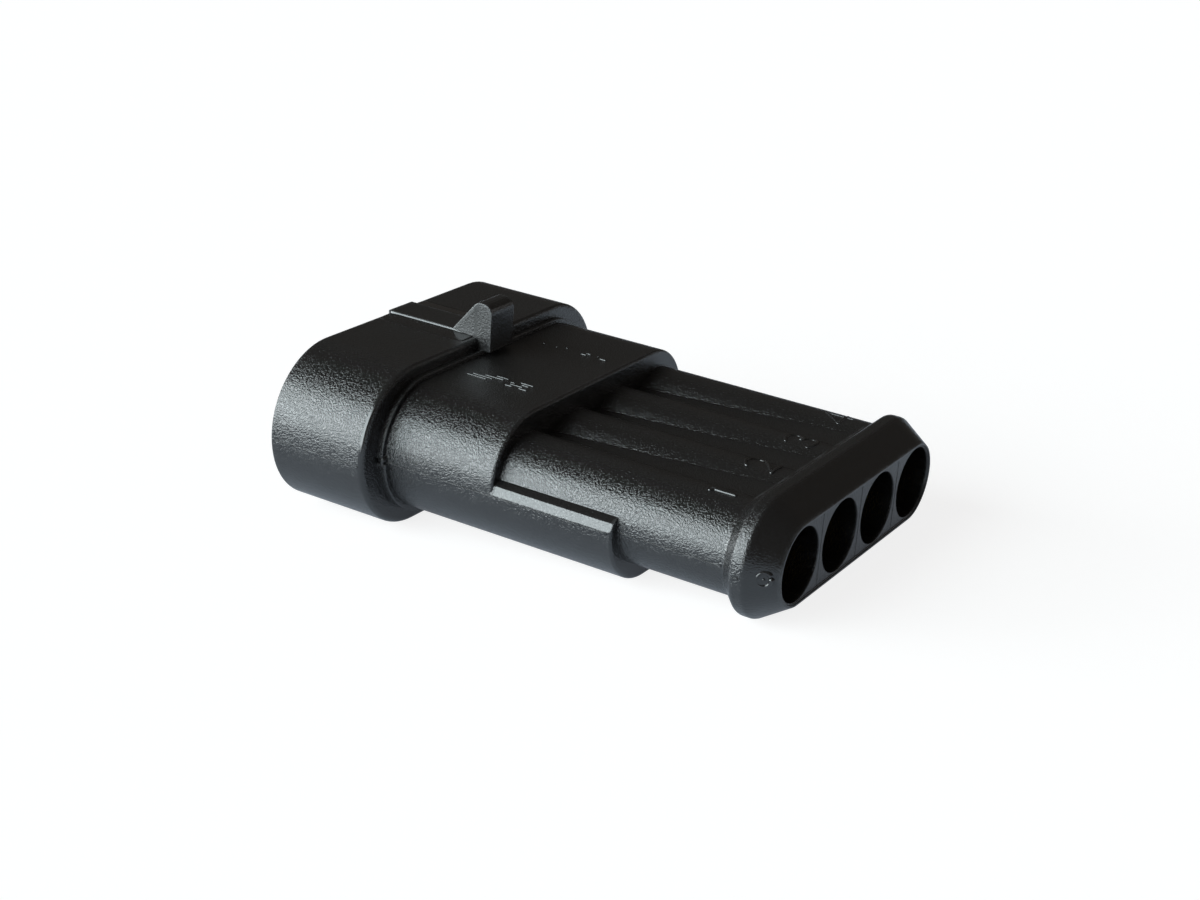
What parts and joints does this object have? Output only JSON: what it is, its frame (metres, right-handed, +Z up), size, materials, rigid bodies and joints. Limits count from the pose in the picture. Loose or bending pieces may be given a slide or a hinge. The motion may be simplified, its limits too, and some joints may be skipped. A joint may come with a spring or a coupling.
{
  "type": "sealed automotive connector",
  "caption": "Flat sealed connector, pin half: a hooded mating end with a latch catch, fused wire tubes and a bevelled flange around round wire cavities.",
  "frame": {"origin": "under the middle of the connector's length and width, at the height of the hood's underside", "axes": "+X from the mating face towards the wire end, +Z up towards the latch catch, +Y across the ways from way 1 to way 4"},
  "size_m": [0.0406, 0.0304, 0.0152],
  "materials": {
    "black_nylon": "black glass-filled nylon with a fine spark-eroded grain and a soft sheen",
    "lock_plastic": "moulded, pale, satin",
    "tinned_metal": "bright tin plating on stamped copper alloy",
    "seal_rubber": "matt silicone rubber"
  },
  "bodies": {
    "connector": {"housing": "black_nylon", "pin_contact_1": "tinned_metal", "pin_contact_2": "tinned_metal", "pin_contact_3": "tinned_metal", "pin_contact_4": "tinned_metal", "wire_seal_1": "seal_rubber", "wire_seal_2": "seal_rubber", "wire_seal_3": "seal_rubber", "wire_seal_4": "seal_rubber"},
    "lock": {"secondary_lock": "lock_plastic"}
  },
  "joints": [
    {"name": "lock_slide", "type": "slide", "parent": "connector", "child": "lock", "axis": [-1, 0, 0], "range_m": [0, 0.0019]}
  ]
}
